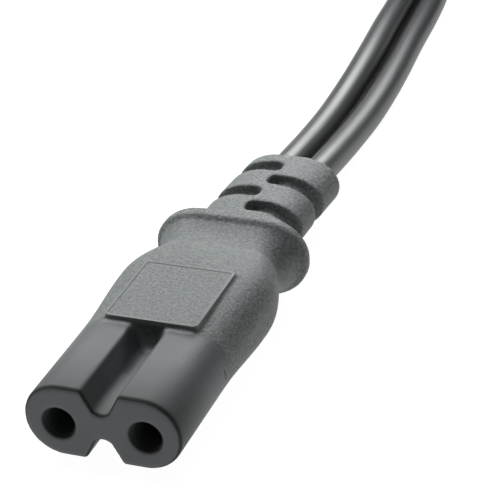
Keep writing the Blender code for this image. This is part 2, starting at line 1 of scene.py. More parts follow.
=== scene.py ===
"""Power cord: the finish of the grey figure-8 connector, its flat twin flex, the plug and the ties.

Metres, +Z up, in the part's own frame: the connector lies level along Y, its mating face towards -Y.
"""

import math

import bmesh
import bpy
from mathutils import Euler, Matrix, Vector


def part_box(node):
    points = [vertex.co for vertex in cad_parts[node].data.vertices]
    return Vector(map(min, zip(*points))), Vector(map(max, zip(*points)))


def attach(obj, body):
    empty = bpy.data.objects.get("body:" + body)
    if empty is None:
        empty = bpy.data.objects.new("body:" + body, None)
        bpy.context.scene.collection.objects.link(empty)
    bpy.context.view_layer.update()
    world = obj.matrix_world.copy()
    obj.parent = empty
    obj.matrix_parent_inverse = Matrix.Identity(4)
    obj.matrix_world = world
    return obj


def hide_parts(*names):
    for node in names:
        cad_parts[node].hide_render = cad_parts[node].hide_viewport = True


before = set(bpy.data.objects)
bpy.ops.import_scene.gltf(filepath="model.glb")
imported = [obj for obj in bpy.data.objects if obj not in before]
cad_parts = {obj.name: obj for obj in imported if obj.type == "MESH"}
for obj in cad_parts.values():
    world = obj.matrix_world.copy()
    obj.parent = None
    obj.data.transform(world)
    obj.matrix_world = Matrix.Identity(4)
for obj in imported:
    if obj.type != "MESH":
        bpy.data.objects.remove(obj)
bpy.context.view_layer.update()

MM = 0.001

# Camera: where the photograph was taken from, and how it was turned
CAMERA_AT = (69.6 * MM, -159.9 * MM, 105.6 * MM)
CAMERA_TURN = (60.85, 3.13, 20.2)
CAMERA_FOCAL_PIXELS = 2000
PICTURE_PIXELS = 500
SENSOR = 36.0

# Flat twin flex
CORE_RADIUS = 1.7 * MM
CORE_OUT = 1.9 * MM           # from the middle of the flex to a core's middle
WEB_HALF = 0.2 * MM
CORE_STEPS = 18
RING_SPACING = 1.8 * MM

# Hank: two columns of strands on edge, in two layers
INNER_FOLD = 21.6 * MM
OUTER_FOLD = 25.4 * MM
HANK_X = 9.0 * MM
NEAR_Y = 146.3 * MM
FAR_Y = 262.3 * MM
LOW_Z = 3.65 * MM
HIGH_Z = 11.05 * MM
JOIN = 6.0 * MM               # the first strand starts this far before the near fold
CLIMB_START = 0.45            # shares of a near fold, between which the strand climbs a layer
CLIMB_END = 0.84
MOVED_IN = 0.5                # share of the next near fold, by which the strand is a column in
STEP_DOWN_START = 11.0 * MM   # from the far fold: the third turn's last run steps down
STEP_DOWN_END = 63.0 * MM
LEAVE_IN = 10.8 * MM          # the last strand curves this far in over this length
LEAVE_LENGTH = 56.0 * MM
LEAVE_POINTS = 8.0 * MM
TIE_LIFT = 0.9 * MM
TIE_REACH = 20.0 * MM
RUN_STEP = 8.0 * MM
FOLD_STEPS = 12
CURVE_STEPS = 10
LEFT, RIGHT = math.pi, 0.0
ON_EDGE = 90.0

# The route's free stretches: x, y, height of the middle, roll in degrees
LEAD_ROUTE = [
    (0.00062, 0.02605, 0.00405, 0), (0.00072, 0.0310, 0.0036, 2), (0.0007, 0.0380, 0.00295, 5),
    (0.00062, 0.0460, 0.0025, 11), (0.00042, 0.0540, 0.0025, 20), (0.00005, 0.0620, 0.00268, 28),
    (-0.0005, 0.0700, 0.0028, 30), (-0.00095, 0.0780, 0.00283, 28), (-0.0016, 0.0860, 0.00295, 31),
    (-0.0028, 0.0935, 0.0032, 46), (-0.0049, 0.1010, 0.0035, 65), (-0.0079, 0.1085, 0.00365, 82),
    (-0.0112, 0.1155, 0.00365, 90), (-0.0141, 0.1225, 0.00365, 90), (-0.0162, 0.1310, 0.00365, 90),
]
TAIL_ROUTE = [
    (0.0266, 0.2465, 0.00365, 90), (0.0232, 0.2400, 0.00365, 90), (0.0196, 0.2340, 0.00365, 90),
    (0.0161, 0.2280, 0.00365, 88), (0.0129, 0.2220, 0.0041, 74), (0.0105, 0.2165, 0.0052, 45),
    (0.0091, 0.2115, 0.0063, 14), (0.0090, 0.2068, 0.0066, 0),
]

# Moulded skins
CONNECTOR_VOXEL = 0.2 * MM
PLUG_VOXEL = 0.3 * MM
SKIN_ROUNDS = 4               # of smoothing, which softens the edges as the mould does
WELD = 1e-7

# Raised pad on the connector, and the fine frame round its field
PAD_FRONT = 12.2 * MM         # from the mating face
PAD_LENGTH = 10.6 * MM
PAD_HALF_WIDTH = 4.75 * MM
PAD_PROUD = 0.05 * MM         # of the skin's own pad, on all sides
PAD_CORNER = 0.55 * MM
PAD_CORNER_STEPS = 5
PAD_DEPTH = 0.6 * MM
PAD_EDGE = 0.09 * MM
PAD_EDGE_BULGE = 0.3          # of the edge's width, where its rounding is fullest
PAD_FRAME = 0.3 * MM
PAD_FIELD_DROP = 0.07 * MM
PAD_TOP_ABOVE_AXIS = 4.25 * MM

# Finish of the mouldings
PVC_IOR = 1.53
POLISH_END = 12.0 * MM        # the nose is polished as far as this from the mating face
POLISH_BLEND = 0.9 * MM
POLISH_WANDER = 2.4 * MM
POLISH_PATCH = 1.1 * MM       # size of the bays in the edge of the polish
POLISHED_ROUGH = 0.52
PEBBLED_ROUGH = 0.64
PEBBLE = 0.28 * MM
PEBBLE_HEIGHT = 0.09 * MM
PEBBLE_FOOT = 0.34            # values of the noise that have the darkest and the lightest colour
PEBBLE_CREST = 0.66
CLOUD = 4.0 * MM              # size of the faint clouds on the polished nose
NICK_AT = (7.8 * MM, -14.7 * MM, 4.6 * MM)
NICK_SIZE = (0.6 * MM, 0.24 * MM, 0.85 * MM)
NICK_LEAN = 6.0
NICK_CORE = 0.5               # of its size, inside which the nick has its full depth
NICK_DEPTH = 2.0              # in pebble heights
FRONT_SHADE_END = 7.5 * MM           # the nose is painted darker, as shade, and made duller, from the face to here
FRONT_SHADE_SHARE = 0.6
FRONT_ROUGH = 0.3              # added to the roughness where the nose is painted darker
RIM_START = 0.3 * MM          # of the painted shade line round the mating face, from the face
RIM_END = 0.65 * MM
FACE_TURN = -0.97             # Y of the normal, where the face ends and where the sides begin
SIDE_TURN = -0.8

# Finish of the pad
GRIND_WIDTH = 0.25 * MM
GRIND_LENGTH = 3.0 * MM
GRIND_SHARE = 0.6             # height of the grinding lines, with the grain's as one
PAD_GRAIN = 0.3 * MM
PAD_RELIEF = 0.03 * MM

# Finish of the flex
DIE_LINES = 60.0              # round the whole section
DIE_LINE_LENGTH = 25.0 * MM
DIE_RELIEF = 0.03 * MM
GROOVE_MIDDLE = 0.487         # shares of the way round a half of the section, from the web
GROOVE_DARK = 0.07
GROOVE_END = 0.16
GROOVE_ROUGH = 0.5              # added to the roughness in the groove, where its shade is painted

# Finish of the metal and the film
ROLL_LINE = 0.3 * MM
ROLL_LINE_LENGTH = 7.0 * MM
ROLL_RELIEF = 0.01 * MM
ROLL_ROUGH = 0.08             # the roughness differs by this both ways
CREASE = 0.9 * MM
CREASE_RELIEF = 0.08 * MM

# Wire ties: a plastic ribbon with a wire along its middle
TIE_BAND = 5.0 * MM           # the width that a tie's CAD solid takes along the strands
TIE_LOOP_DOWN = 0.9 * MM      # from the top of the twisted tail to the top of the loop
RIBBON_HALF = 2.0 * MM
RIBBON_THICKNESS = 0.25 * MM
WIRE_RADIUS = 0.32 * MM
WIRE_STEPS = 6
TIE_CORNER = 1.3 * MM
TIE_CORNER_STEPS = 6
TAIL_LENGTH = 12.5 * MM
TAIL_RIBBON_HALF = 0.72 * MM
TAIL_WIRE = 0.26 * MM
TAIL_PITCH = 4.2 * MM
TAIL_STEP = 0.15 * MM
TAIL_APART = 0.9              # of the wire's radius, from the tail's middle to each ribbon's

# Studio: each light's name, place, target, sides, watts and spread in degrees
FLOOR_HALF = 3.0
FLOOR_GLOW = 0.97
ROOM_GLOW = 0.15
LIGHTS = [
    ("overhead", (-0.085, 0.04, 0.145), (0, 0.015, 0), (0.09, 0.09), 0.45, 180),
    ("backdrop", (-0.004, 0.12, 0.068), (0, 0.012, 0), (0.07, 0.035), 0.0155, 55),
    ("over_hank", (0.01, 0.22, 0.2), (0.01, 0.22, 0), (0.2, 0.2), 0.14, 60),
]


def linear(hex_colour):
    """An sRGB hex value as the linear colour that shaders take."""
    channels = [int(hex_colour[i:i + 2], 16) / 255 for i in (1, 3, 5)]
    return tuple(
        c / 12.92 if c <= 0.04045 else ((c + 0.055) / 1.055) ** 2.4 for c in channels
    ) + (1.0,)


def place_camera():
    """The camera of the photograph, with its place, turn and focal length as they were fitted."""
    data = bpy.data.cameras.new("camera")
    data.sensor_width = SENSOR
    data.lens = CAMERA_FOCAL_PIXELS / PICTURE_PIXELS * SENSOR
    data.clip_start = 0.01
    data.clip_end = 10.0
    camera = bpy.data.objects.new("camera", data)
    camera.location = CAMERA_AT
    camera.rotation_euler = Euler([math.radians(angle) for angle in CAMERA_TURN])
    bpy.context.scene.collection.objects.link(camera)
    bpy.context.scene.camera = camera


def swelling(share):
    """From 0 to 1, flat at both ends."""
    share = min(1.0, max(0.0, share))
    return (1 - math.cos(share * math.pi)) / 2


def tie_lift(y, tie_y):
    """The strands rise a little where a tie passes under them."""
    return TIE_LIFT * swelling(1 - abs(y - tie_y) / TIE_REACH)


def run(x, y_from, y_to, height, tie_y):
    """Points along a straight side of the hank. height is a number, or a function of y."""
    count = max(2, round(abs(y_to - y_from) / RUN_STEP))
    points = []
    for step in range(count):
        y = y_from + (y_to - y_from) * step / count
        z = height(y) if callable(height) else height
        points.append((x, y, z + tie_lift(y, tie_y), ON_EDGE))
    return points


def fold(centre_y, start, radius, height):
    """Points round a fold, clockwise from above. radius and height are functions of the share."""
    points = []
    for step in range(FOLD_STEPS):
        share = step / FOLD_STEPS
        angle = start - math.pi * share
        points.append((
            HANK_X + radius(share) * math.cos(angle), centre_y + radius(share) * math.sin(angle),
            height(share), ON_EDGE,
        ))
    return points


def always(value):
    """A function that gives the value at every share."""
    return lambda share: value


def ramp(first, last, start, end):
    """A function that goes from first to last between two shares or places."""
    return lambda place: first + (last - first) * swelling((place - start) / (end - start))


def hank_route(tie_y):
    """Four turns, wound clockwise: outer low, outer high, inner high, inner low."""
    left_outer, left_inner = HANK_X - OUTER_FOLD, HANK_X - INNER_FOLD
    right_outer, right_inner = HANK_X + OUTER_FOLD, HANK_X + INNER_FOLD
    step_down = ramp(HIGH_Z, LOW_Z, FAR_Y - STEP_DOWN_START, FAR_Y - STEP_DOWN_END)
    points = []
    points += run(left_outer, NEAR_Y - JOIN, FAR_Y, LOW_Z, tie_y)
    points += fold(FAR_Y, LEFT, always(OUTER_FOLD), always(LOW_Z))
    points += run(right_outer, FAR_Y, NEAR_Y, LOW_Z, tie_y)
    points += fold(NEAR_Y, RIGHT, always(OUTER_FOLD), ramp(LOW_Z, HIGH_Z, CLIMB_START, CLIMB_END))
    points += run(left_outer, NEAR_Y, FAR_Y, HIGH_Z, tie_y)
    points += fold(FAR_Y, LEFT, always(OUTER_FOLD), always(HIGH_Z))
    points += run(right_outer, FAR_Y, NEAR_Y, HIGH_Z, tie_y)
    points += fold(NEAR_Y, RIGHT, ramp(OUTER_FOLD, INNER_FOLD, 0.0, MOVED_IN), always(HIGH_Z))
    points += run(left_inner, NEAR_Y, FAR_Y, HIGH_Z, tie_y)
    points += fold(FAR_Y, LEFT, always(INNER_FOLD), always(HIGH_Z))
    points += run(right_inner, FAR_Y, NEAR_Y, step_down, tie_y)
    points += fold(NEAR_Y, RIGHT, always(INNER_FOLD), always(LOW_Z))
    points += run(left_inner, NEAR_Y, FAR_Y, LOW_Z, tie_y)
    points += fold(FAR_Y, LEFT, always(INNER_FOLD), always(LOW_Z))
    for gone in (0.0, LEAVE_POINTS):
        inward = LEAVE_IN * (1 - math.cos(math.pi * gone / LEAVE_LENGTH))
        points.append((right_inner - inward, FAR_Y - gone, LOW_Z, ON_EDGE))
    return points


def smooth_route(points, spacing):
    """Points evenly spaced on a smooth curve through the given ones, each x, y, z, roll."""
    fine = []
    padded = [points[0]] + list(points) + [points[-1]]
    for a, b, c, d in zip(padded, padded[1:], padded[2:], padded[3:]):
        for step in range(CURVE_STEPS):
            t = step / CURVE_STEPS
            fine.append(tuple(
                q + t * ((r - p) + t * ((2 * p - 5 * q + 4 * r - s) + t * (3 * q - p - 3 * r + s))) / 2
                for p, q, r, s in zip(a, b, c, d)
            ))
    fine.append(tuple(points[-1]))
    lengths = [0.0]
    for a, b in zip(fine, fine[1:]):
        lengths.append(lengths[-1] + math.dist(a[:3], b[:3]))
    count = round(lengths[-1] / spacing)
    even = []
    place = 0
    for index in range(count + 1):
        target = lengths[-1] * index / count
        while place < len(lengths) - 2 and lengths[place + 1] < target:
            place += 1
        span = lengths[place + 1] - lengths[place]
        share = (target - lengths[place]) / span if span else 0.0
        even.append(tuple(p + (q - p) * share for p, q in zip(fine[place], fine[place + 1])))
    return even


def flex_section():
    """Two round cores side by side, joined by a thin web: points (across, up), anticlockwise."""
    web = math.asin(WEB_HALF / CORE_RADIUS)
    points = []
    for centre, start, end in (
        (CORE_OUT, web - math.pi, math.pi - web), (-CORE_OUT, web, 2 * math.pi - web),
    ):
        for step in range(CORE_STEPS + 1):
            angle = start + (end - start) * step / CORE_STEPS
            points.append((centre + CORE_RADIUS * math.cos(angle), CORE_RADIUS * math.sin(angle)))
    return points


def ribbon_section(half_width, wire, lift=0.0):
    """A flat film with a wire along its middle: points (across, up), anticlockwise."""
    half_film = RIBBON_THICKNESS / 2
    meet = math.asin(half_film / wire)
    points = []
    for side, start in ((1, -half_film), (-1, half_film)):
        points += [(side * half_width, start + lift), (side * half_width, -start + lift)]
        for step in range(WIRE_STEPS + 1):
            angle = meet + (math.pi - 2 * meet) * step / WIRE_STEPS
            points.append((side * wire * math.cos(angle), side * wire * math.sin(angle) + lift))
    return points


def rolled_frames(route):
    """For each point of a route: its place, the way across and the way up, rolled about its line."""
    frames = []
    for index, (x, y, z, roll) in enumerate(route):
        before, after = route[max(0, index - 1)], route[min(len(route) - 1, index + 1)]
        along = (Vector(after[:3]) - Vector(before[:3])).normalized()
        side = along.cross(Vector((0, 0, 1))).normalized()
        up = side.cross(along)
        angle = math.radians(roll)
        frames.append((
            Vector((x, y, z)), side * math.cos(angle) - up * math.sin(angle),
            side * math.sin(angle) + up * math.cos(angle),
        ))
    return frames


def new_piece(name, mesh, material, body="root"):
    """A piece of the visual model with its material, on its body and material slot."""
    piece = bpy.data.objects.new(name, mesh)
    bpy.context.scene.collection.objects.link(piece)
    mesh.materials.clear()
    mesh.materials.append(material)
    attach(piece, body)
    return piece


def sweep(work, frames, section):
    """Adds a closed tube of the section through the frames, with lengths along it as UVs."""
    uv = work.loops.layers.uv.get("length") or work.loops.layers.uv.new("length")
    count = len(section)
    rings = [
        [work.verts.new(place + across * a + up * b) for a, b in section]
        for place, across, up in frames
    ]
    reached = [0.0]
    for before, after in zip(frames, frames[1:]):
        reached.append(reached[-1] + (after[0] - before[0]).length)
    for index, (near, far) in enumerate(zip(rings, rings[1:])):
        for i in range(count):
            j = (i + 1) % count
            face = work.faces.new((near[i], near[j], far[j], far[i]))
            corners = ((i, index), (i + 1, index), (i + 1, index + 1), (i, index + 1))
            for loop, (u, v) in zip(face.loops, corners):
                loop[uv].uv = (u / count, reached[v])
    work.faces.new(list(reversed(rings[0])))
    work.faces.new(rings[-1])


def as_mesh(name, work, sharp=50):
    """The finished mesh, faces outwards, shaded smooth but for edges sharper than so many degrees."""
    bmesh.ops.recalc_face_normals(work, faces=work.faces)
    mesh = bpy.data.meshes.new(name)
    work.to_mesh(mesh)
    work.free()
    mesh.shade_smooth()
    mesh.set_sharp_from_angle(angle=math.radians(sharp))
    return mesh


def rounded_rectangle(half_x, half_y, corner, steps):
    """Points of a rectangle with round corners, anticlockwise."""
    points = []
    for quarter, (sx, sy) in enumerate(((1, 1), (-1, 1), (-1, -1), (1, -1))):
        for step in range(steps + 1):
            angle = math.pi / 2 * (quarter + step / steps)
            points.append((
                sx * (half_x - corner) + corner * math.cos(angle),
                sy * (half_y - corner) + corner * math.sin(angle),
            ))
    return points


def node(tree, kind, settings=None, links=None):
    """Adds one node, with its settings by name and its inputs as values or as sockets to link."""
    made = tree.nodes.new(kind)
    for name, value in (settings or {}).items():
        setattr(made, name, value)
    for name, value in (links or {}).items():
        if isinstance(value, bpy.types.NodeSocket):
            tree.links.new(value, made.inputs[name])
        else:
            made.inputs[name].default_value = value
    return made


def new_material(name, **values):
    """A material and its Principled shader, which takes the values that are the same all over."""
    made = bpy.data.materials.new(name)
    made.use_nodes = True
    tree = made.node_tree
    tree.nodes.clear()
    shader = node(tree, "ShaderNodeBsdfPrincipled", links=values)
    node(tree, "ShaderNodeOutputMaterial", links={"Surface": shader.outputs["BSDF"]})
    return made, tree, shader


def moulded_pvc(name, polish_end_y):
    """Plasticised PVC from a steel mould.

    The cavity is spark-eroded, which leaves fine pebbles that scatter the light, and polished up to
    polish_end_y, which leaves a smooth darker nose with a soft gloss. The pebbles are drawn at
    0.3 mm, where the real ones are near 0.05 mm, because finer ones don't show.
    """
    made, tree, shader = new_material(name, **{"IOR": PVC_IOR})
    place = node(tree, "ShaderNodeTexCoord").outputs["Object"]
    split = node(tree, "ShaderNodeSeparateXYZ", links={"Vector": place})
    wander = node(
        tree, "ShaderNodeTexNoise", links={"Vector": place, "Scale": 1 / POLISH_PATCH, "Detail": 3.0},
    )
    edge = node(
        tree, "ShaderNodeMath", {"operation": "MULTIPLY_ADD"},
        {0: wander.outputs["Fac"], 1: POLISH_WANDER, 2: split.outputs["Y"]},
    ).outputs[0]
    pebbled = node(
        tree, "ShaderNodeMapRange", {"interpolation_type": "SMOOTHSTEP"}, {
            "Value": edge, "From Min": polish_end_y + POLISH_WANDER / 2 - POLISH_BLEND,
            "From Max": polish_end_y + POLISH_WANDER / 2 + POLISH_BLEND,
        },
    ).outputs["Result"]
    pebbles = node(
        tree, "ShaderNodeTexNoise",
        links={"Vector": place, "Scale": 1 / PEBBLE, "Detail": 2.0, "Roughness": 0.6},
    ).outputs["Fac"]
    relief = node(
        tree, "ShaderNodeMath", {"operation": "MULTIPLY"}, {0: pebbles, 1: pebbled},
    ).outputs[0]

    # A small cut in the side of the nose
    nick_place = node(
        tree, "ShaderNodeMapping", {"vector_type": "TEXTURE"}, {
            "Vector": place, "Location": NICK_AT, "Rotation": (math.radians(NICK_LEAN), 0, 0),
            "Scale": NICK_SIZE,
        },
    ).outputs["Vector"]
    near_nick = node(
        tree, "ShaderNodeTexGradient", {"gradient_type": "SPHERICAL"}, {"Vector": nick_place},
    ).outputs["Fac"]
    nick = node(
        tree, "ShaderNodeMapRange", links={"Value": near_nick, "From Max": NICK_CORE},
    ).outputs["Result"]
    height = node(
        tree, "ShaderNodeMath", {"operation": "MULTIPLY_ADD"}, {0: nick, 1: -NICK_DEPTH, 2: relief},
    ).outputs[0]
    bump = node(
        tree, "ShaderNodeBump", links={"Strength": 1.0, "Distance": PEBBLE_HEIGHT, "Height": height},
    )
    tree.links.new(bump.outputs["Normal"], shader.inputs["Normal"])

    # Lighter crests on the pebbles, faint clouds on the polish
    crests = node(
        tree, "ShaderNodeMapRange",
        links={"Value": pebbles, "From Min": PEBBLE_FOOT, "From Max": PEBBLE_CREST},
    ).outputs["Result"]
    rough_colour = node(
        tree, "ShaderNodeMix", {"data_type": "RGBA"},
        {"Factor": crests, "A": linear("#3f4343"), "B": linear("#626767")},
    ).outputs["Result"]
    cloud = node(
        tree, "ShaderNodeTexNoise", links={"Vector": place, "Scale": 1 / CLOUD, "Detail": 3.0},
    ).outputs["Fac"]
    smooth_colour = node(
        tree, "ShaderNodeMix", {"data_type": "RGBA"},
        {"Factor": cloud, "A": linear("#3b3f41"), "B": linear("#484d4f")},
    ).outputs["Result"]
    colour = node(
        tree, "ShaderNodeMix", {"data_type": "RGBA"},
        {"Factor": pebbled, "A": smooth_colour, "B": rough_colour},
    ).outputs["Result"]

    # Painted shade: darker towards the front of the nose, but not on its face, a dark line round the
    # face, and the inside of the nick
    normal = node(tree, "ShaderNodeNewGeometry").outputs["Normal"]
    turned = node(tree, "ShaderNodeSeparateXYZ", links={"Vector": normal}).outputs["Y"]
    off_face = node(
        tree, "ShaderNodeMapRange",
        links={"Value": turned, "From Min": FACE_TURN, "From Max": SIDE_TURN},
    ).outputs["Result"]
    face_y = polish_end_y - POLISH_END
    near_face = node(
        tree, "ShaderNodeMapRange", links={
            "Value": split.outputs["Y"], "From Min": face_y + RIM_END, "From Max": face_y + RIM_START,
        },
    ).outputs["Result"]
    front_shade = node(
        tree, "ShaderNodeMapRange", links={
            "Value": split.outputs["Y"], "From Min": face_y + FRONT_SHADE_END, "From Max": face_y,
            "To Max": FRONT_SHADE_SHARE,
        },
    ).outputs["Result"]
    dark = node(tree, "ShaderNodeMath", {"operation": "MAXIMUM"}, {0: front_shade, 1: near_face}).outputs[0]
    nose_shade = node(tree, "ShaderNodeMath", {"operation": "MULTIPLY"}, {0: off_face, 1: dark}).outputs[0]
    painted_shade = node(tree, "ShaderNodeMath", {"operation": "MAXIMUM"}, {0: nose_shade, 1: nick}).outputs[0]
    # the near black colour of the painted shade
    shaded_colour = node(
        tree, "ShaderNodeMix", {"data_type": "RGBA"},
        {"Factor": painted_shade, "A": colour, "B": linear("#0e1011")},
    ).outputs["Result"]
    tree.links.new(shaded_colour, shader.inputs["Base Color"])
    gloss = node(
        tree, "ShaderNodeMapRange",
        links={"Value": pebbled, "To Min": POLISHED_ROUGH, "To Max": PEBBLED_ROUGH},
    ).outputs["Result"]
    rough = node(
        tree, "ShaderNodeMath", {"operation": "MULTIPLY_ADD"}, {0: nose_shade, 1: FRONT_ROUGH, 2: gloss},
    ).outputs[0]
    tree.links.new(rough, shader.inputs["Roughness"])
    return made


def pad_pvc():
    """The same PVC from a finer, ground patch of the mould: a flat satin field with faint lines.

    The grinding lines are drawn 0.25 mm apart, where real ones are finer.
    """
    made, tree, shader = new_material("ground_mould_pvc", **{"IOR": PVC_IOR})
    place = node(tree, "ShaderNodeTexCoord").outputs["Object"]
    stretched = node(
        tree, "ShaderNodeMapping",
        links={"Vector": place, "Scale": (1 / GRIND_WIDTH, 1 / GRIND_LENGTH, 1 / GRIND_LENGTH)},
    ).outputs["Vector"]
    lines = node(
        tree, "ShaderNodeTexNoise", links={"Vector": stretched, "Scale": 1.0, "Detail": 3.0},
    ).outputs["Fac"]
    grain = node(
        tree, "ShaderNodeTexNoise", links={"Vector": place, "Scale": 1 / PAD_GRAIN, "Detail": 3.0},
    ).outputs["Fac"]
    mixed = node(
        tree, "ShaderNodeMath", {"operation": "MULTIPLY_ADD"}, {0: lines, 1: GRIND_SHARE, 2: grain},
    ).outputs[0]
    bump = node(
        tree, "ShaderNodeBump", links={"Strength": 0.35, "Distance": PAD_RELIEF, "Height": mixed},
    )
    tree.links.new(bump.outputs["Normal"], shader.inputs["Normal"])
    colour = node(
        tree, "ShaderNodeMix", {"data_type": "RGBA"},
        {"Factor": grain, "A": linear("#4a4f4f"), "B": linear("#626767")},
    ).outputs["Result"]
    tree.links.new(colour, shader.inputs["Base Color"])
    rough = node(
        tree, "ShaderNodeMapRange", links={"Value": grain, "To Min": 0.5, "To Max": 0.62},
    ).outputs["Result"]
    tree.links.new(rough, shader.inputs["Roughness"])
    return made


def extruded_pvc():
    """Extruded PVC: a satin skin with faint lines from the die along the flex.

    The groove between the cores is painted near black, as the shade that falls in it, and made duller.
    """
    made, tree, shader = new_material("extruded_pvc", **{"IOR": PVC_IOR})
    uv = node(tree, "ShaderNodeUVMap", {"uv_map": "length"}).outputs["UV"]
    lines = node(
        tree, "ShaderNodeMapping",
        links={"Vector": uv, "Scale": (DIE_LINES, 1 / DIE_LINE_LENGTH, 1.0)},
    ).outputs["Vector"]
    grain = node(
        tree, "ShaderNodeTexNoise", links={"Vector": lines, "Scale": 1.0, "Detail": 3.0},
    ).outputs["Fac"]
    bump = node(
        tree, "ShaderNodeBump", links={"Strength": 0.3, "Distance": DIE_RELIEF, "Height": grain},
    )
    tree.links.new(bump.outputs["Normal"], shader.inputs["Normal"])
    skin = node(
        tree, "ShaderNodeMix", {"data_type": "RGBA"},
        {"Factor": grain, "A": linear("#2b2e2f"), "B": linear("#35393a")},
    ).outputs["Result"]

    # How far round each half of the section a place lies from the groove
    way_round = node(tree, "ShaderNodeSeparateXYZ", links={"Vector": uv}).outputs["X"]
    round_half = node(
        tree, "ShaderNodeMath", {"operation": "MULTIPLY_ADD"},
        {0: way_round, 1: 2.0, 2: -2 * GROOVE_MIDDLE},
    ).outputs[0]
    from_groove = node(
        tree, "ShaderNodeMath", {"operation": "PINGPONG"}, {0: round_half, 1: 0.5},
    ).outputs[0]
    # Painted shade: near black down in the groove between the cores, where shade falls
    groove_shade = node(
        tree, "ShaderNodeMapRange", {"interpolation_type": "SMOOTHSTEP"},
        {"Value": from_groove, "From Min": GROOVE_END, "From Max": GROOVE_DARK},
    ).outputs["Result"]
    colour = node(
        tree, "ShaderNodeMix", {"data_type": "RGBA"},
        {"Factor": groove_shade, "A": skin, "B": linear("#0a0b0b")},
    ).outputs["Result"]
    tree.links.new(colour, shader.inputs["Base Color"])
    satin = node(
        tree, "ShaderNodeMapRange", links={"Value": grain, "To Min": 0.37, "To Max": 0.45},
    ).outputs["Result"]
    rough = node(
        tree, "ShaderNodeMath", {"operation": "MULTIPLY_ADD"}, {0: groove_shade, 1: GROOVE_ROUGH, 2: satin},
    ).outputs[0]
    tree.links.new(rough, shader.inputs["Roughness"])
    return made


def sheet_metal(name, light, dark, roughness):
    """Rolled strip: a metal gloss with fine lines from the rolls, drawn 0.3 mm apart to show."""
    made, tree, shader = new_material(name, **{"Metallic": 1.0})
    place = node(tree, "ShaderNodeTexCoord").outputs["Object"]
    lines = node(
        tree, "ShaderNodeMapping",
        links={"Vector": place, "Scale": (1 / ROLL_LINE, 1 / ROLL_LINE_LENGTH, 1 / ROLL_LINE)},
    ).outputs["Vector"]
    grain = node(
        tree, "ShaderNodeTexNoise", links={"Vector": lines, "Scale": 1.0, "Detail": 3.0},
    ).outputs["Fac"]
    colour = node(
        tree, "ShaderNodeMix", {"data_type": "RGBA"},
        {"Factor": grain, "A": linear(light), "B": linear(dark)},
    ).outputs["Result"]
    tree.links.new(colour, shader.inputs["Base Color"])
    rough = node(
        tree, "ShaderNodeMapRange",
        links={"Value": grain, "To Min": roughness - ROLL_ROUGH, "To Max": roughness + ROLL_ROUGH},
    ).outputs["Result"]
    tree.links.new(rough, shader.inputs["Roughness"])
    bump = node(
        tree, "ShaderNodeBump", links={"Strength": 0.2, "Distance": ROLL_RELIEF, "Height": grain},
    )
    tree.links.new(bump.outputs["Normal"], shader.inputs["Normal"])
    return made


def polyethylene_film():
    """Black polyethylene film over a wire: soft, a little waxy and creased where it is twisted."""
    made, tree, shader = new_material("polyethylene_film", **{"IOR": 1.51})
    place = node(tree, "ShaderNodeTexCoord").outputs["Object"]
    creases = node(
        tree, "ShaderNodeTexNoise", links={"Vector": place, "Scale": 1 / CREASE, "Detail": 3.0},
    ).outputs["Fac"]
    colour = node(
        tree, "ShaderNodeMix", {"data_type": "RGBA"},
        {"Factor": creases, "A": linear("#141414"), "B": linear("#222223")},
    ).outputs["Result"]
    tree.links.new(colour, shader.inputs["Base Color"])
    rough = node(
        tree, "ShaderNodeMapRange", links={"Value": creases, "To Min": 0.32, "To Max": 0.52},
    ).outputs["Result"]
    tree.links.new(rough, shader.inputs["Roughness"])
    bump = node(
        tree, "ShaderNodeBump", links={"Strength": 0.5, "Distance": CREASE_RELIEF, "Height": creases},
    )
    tree.links.new(bump.outputs["Normal"], shader.inputs["Normal"])
    return made


def moulded_skin(name, source, voxel, material):
    """A finer skin of a moulded CAD solid, with the soft edges that leave the mould.

    It is remeshed a thousand times larger, because a voxel has a least size.
    """
    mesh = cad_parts[source].data.copy()
    work = bmesh.new()
    work.from_mesh(mesh)
    bmesh.ops.remove_doubles(work, verts=work.verts, dist=WELD)
    work.to_mesh(mesh)
    work.free()
    mesh.transform(Matrix.Scale(1 / MM, 4))
    blank = bpy.data.objects.new(f"{name}_blank", mesh)
    bpy.context.scene.collection.objects.link(blank)
    remesh = blank.modifiers.new("remesh", "REMESH")
    remesh.mode = "VOXEL"
    remesh.voxel_size = voxel / MM
    soften = blank.modifiers.new("soften", "SMOOTH")
    soften.factor = 0.5
    soften.iterations = SKIN_ROUNDS
    bpy.context.view_layer.update()
    fine = bpy.data.meshes.new_from_object(blank.evaluated_get(bpy.context.evaluated_depsgraph_get()))
    bpy.data.objects.remove(blank, do_unlink=True)
    fine.transform(Matrix.Scale(MM, 4))
    fine.name = name
    fine.shade_smooth()
    piece = new_piece(name, fine, material)
    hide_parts(source)
    return piece


def raised_pad(front_y, axis_z, material):
    """The pad on the connector's top, bare, with a fine frame round its field and crisp edges."""
    middle_y = front_y + PAD_FRONT + PAD_LENGTH / 2
    top = axis_z + PAD_TOP_ABOVE_AXIS + PAD_PROUD
    work = bmesh.new()
    rings = []
    for inset, z in (
        (0, top - PAD_DEPTH), (0, top - PAD_EDGE),
        (PAD_EDGE * PAD_EDGE_BULGE, top - PAD_EDGE * PAD_EDGE_BULGE), (PAD_EDGE, top),
        (PAD_FRAME, top), (PAD_FRAME + PAD_FIELD_DROP, top - PAD_FIELD_DROP),
    ):
        outline = rounded_rectangle(
            PAD_HALF_WIDTH + PAD_PROUD - inset, PAD_LENGTH / 2 + PAD_PROUD - inset,
            PAD_CORNER - inset, PAD_CORNER_STEPS,
        )
        rings.append([work.verts.new((x, middle_y + y, z)) for x, y in outline])
    for low, high in zip(rings, rings[1:]):
        for i in range(len(low)):
            j = (i + 1) % len(low)
            work.faces.new((low[i], low[j], high[j], high[i]))
    work.faces.new(list(reversed(rings[0])))
    work.faces.new(rings[-1])
    new_piece("raised_pad", as_mesh("raised_pad", work, 30), material)


